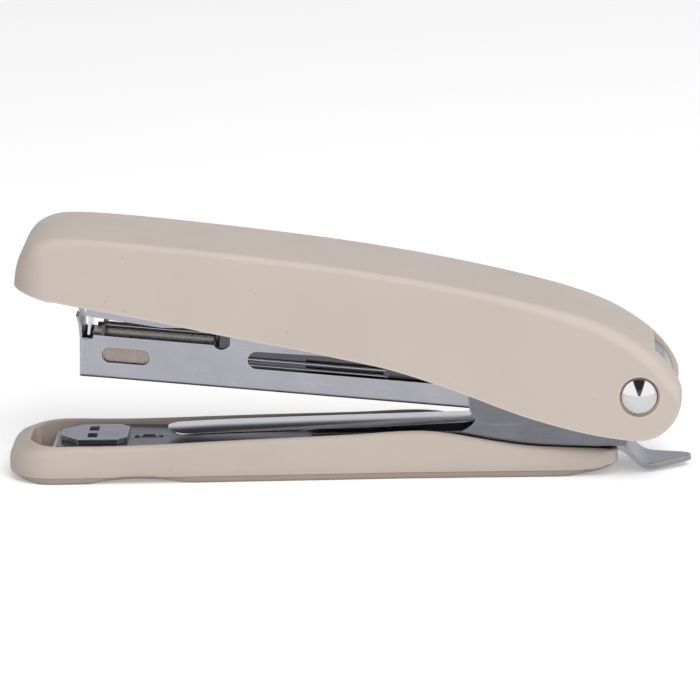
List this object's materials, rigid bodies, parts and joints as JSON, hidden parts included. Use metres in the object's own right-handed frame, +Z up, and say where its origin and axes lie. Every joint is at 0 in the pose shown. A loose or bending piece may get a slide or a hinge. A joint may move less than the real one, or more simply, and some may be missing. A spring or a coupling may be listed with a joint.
{
  "type": "hand stapler",
  "caption": "Compact hinged hand stapler with spring-fed magazine, driver blade, crimping anvil, leaf return spring and a rear staple remover tab.",
  "frame": {"origin": "middle of the flat underside of the base, on the middle plane, 52 mm ahead of the hinge axis", "axes": "+X towards the hinge and the staple remover tab, nose at -X, +Y across the width, +Z up"},
  "size_m": [0.1217, 0.0268, 0.0452],
  "materials": {
    "cover_plastic": "smooth satin gloss, beige",
    "base_plastic": "smooth satin gloss, beige",
    "plated_steel": "satin zinc plated sheet",
    "frame_steel": "darker satin plated sheet",
    "polished_steel": "polished nickel plate",
    "spring_steel": "polished spring steel",
    "staple_wire": "galvanised wire"
  },
  "bodies": {
    "base": {"base_cover": "base_plastic", "base_frame": "frame_steel", "anvil": "plated_steel", "staple_remover": "polished_steel", "remover_rivets": "polished_steel", "pivot_pin": "polished_steel", "pivot_cap": "polished_steel"},
    "magazine": {"magazine_channel": "plated_steel", "nose_plate": "plated_steel", "staple_rail": "frame_steel", "rail_rivets": "polished_steel", "rod_bridge": "plated_steel", "guide_rod": "polished_steel", "rod_bracket": "plated_steel", "staple_strip": "staple_wire", "pusher_spring": "spring_steel"},
    "pusher": {"pusher": "plated_steel"},
    "return_spring": {"return_spring": "spring_steel", "spring_rivets": "polished_steel"},
    "handle": {"top_cover": "cover_plastic", "handle_frame": "plated_steel", "driver": "polished_steel", "driver_rivets": "polished_steel", "handle_spring": "spring_steel", "handle_spring_rivet": "polished_steel"}
  },
  "joints": [
    {"name": "magazine_pivot", "type": "hinge", "parent": "base", "child": "magazine", "pos_m": [0.052, 0, 0.01565], "axis": [0, 1, 0], "range_deg": [-6.5, 0], "stiffness_Nm_per_rad": 2, "springref_deg": 2.86},
    {"name": "handle_pivot", "type": "hinge", "parent": "magazine", "child": "handle", "pos_m": [0.052, 0, 0.01565], "axis": [0, 1, 0], "range_deg": [-4.2, 70], "stiffness_Nm_per_rad": 0.6, "springref_deg": 2.86, "deforming": ["handle_spring"]},
    {"name": "pusher_slide", "type": "slide", "parent": "magazine", "child": "pusher", "axis": [0.9955, 0, -0.0948], "range_m": [0, 0.017], "stiffness_N_per_m": 20, "springref_m": -0.02, "deforming": ["pusher_spring"]},
    {"name": "spring_flex", "type": "hinge", "parent": "magazine", "child": "return_spring", "pos_m": [0.0385, 0, 0.0099], "axis": [0, 1, 0], "range_deg": [0, 6.9]}
  ],
  "couplings": [
    {"joint": "spring_flex", "follows": "magazine_pivot", "ratio": -1.06}
  ]
}
